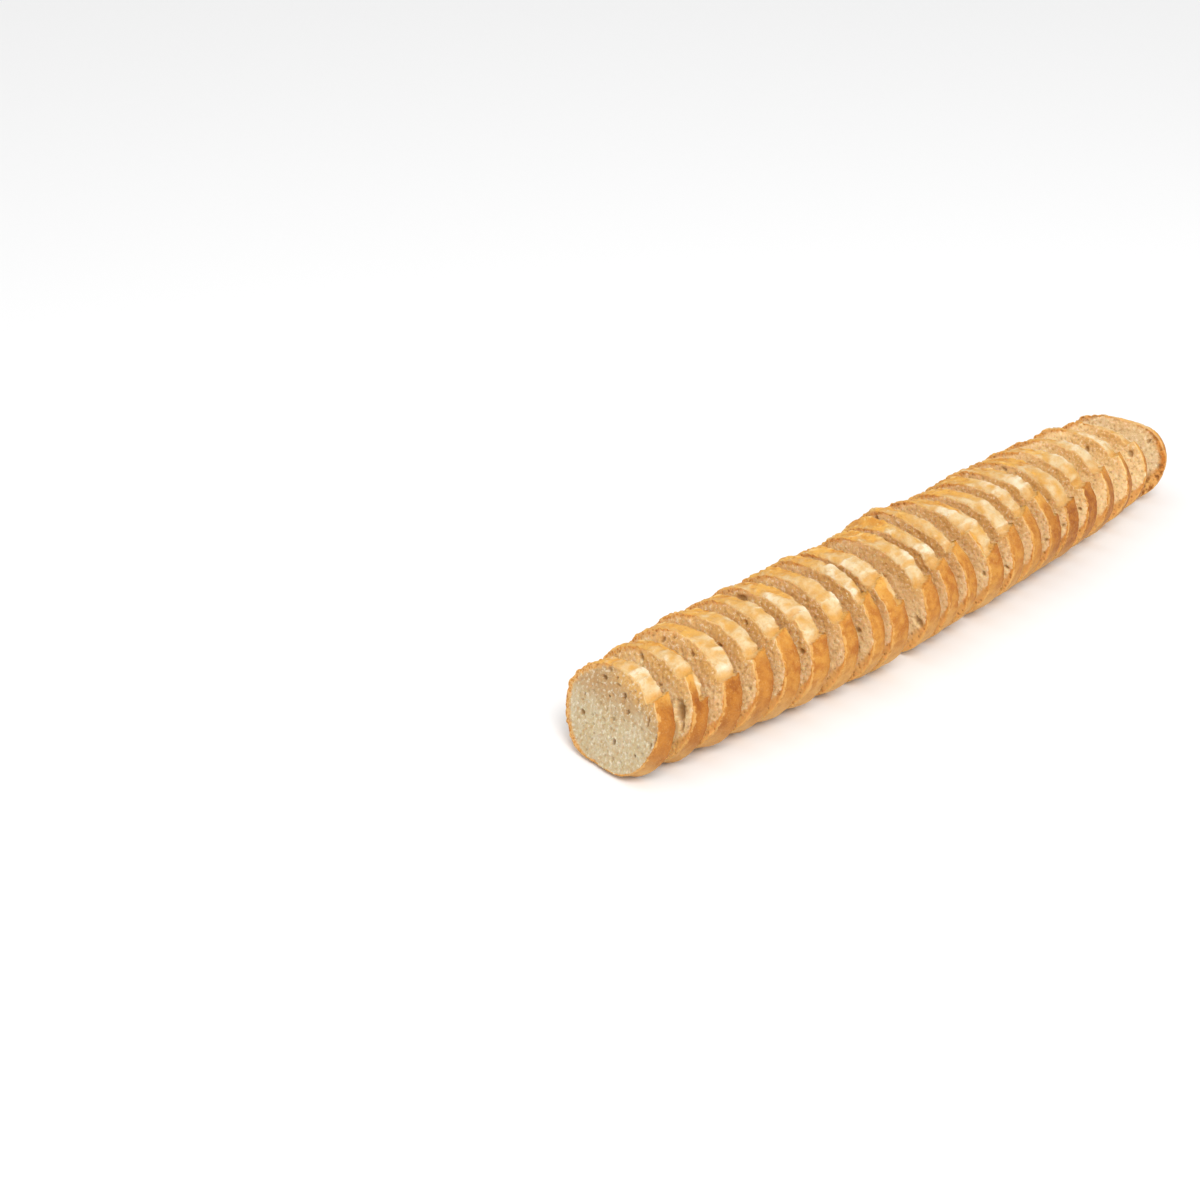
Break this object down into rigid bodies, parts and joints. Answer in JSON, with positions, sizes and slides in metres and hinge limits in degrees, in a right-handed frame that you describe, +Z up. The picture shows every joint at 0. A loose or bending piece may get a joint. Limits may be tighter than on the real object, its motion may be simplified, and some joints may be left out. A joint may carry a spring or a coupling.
{
  "type": "sliced baguette",
  "caption": "Baguette cut across into even slices that stand in a row and keep the loaf's shape, with a rounded heel at one end and diagonal scores across the top.",
  "frame": {"origin": "on the table, under the middle of the row's bounding box", "axes": "+Z up from the table; +X along the row, from the front slice to the rounded heel; -Y is the side where the scores begin low on the crust"},
  "size_m": [0.4636, 0.0848, 0.0578],
  "materials": {
    "bread": "baked wheat bread: dry golden crust, matte porous crumb on the cut faces"
  },
  "bodies": {
    "root": {"slice_01": "bread", "slice_02": "bread", "slice_03": "bread", "slice_04": "bread", "slice_05": "bread", "slice_06": "bread", "slice_07": "bread", "slice_08": "bread", "slice_09": "bread", "slice_10": "bread", "slice_11": "bread", "slice_12": "bread", "slice_13": "bread", "slice_14": "bread", "slice_15": "bread", "slice_16": "bread", "slice_17": "bread", "slice_18": "bread", "slice_19": "bread", "slice_20": "bread", "slice_21": "bread", "heel": "bread"}
  },
  "joints": []
}
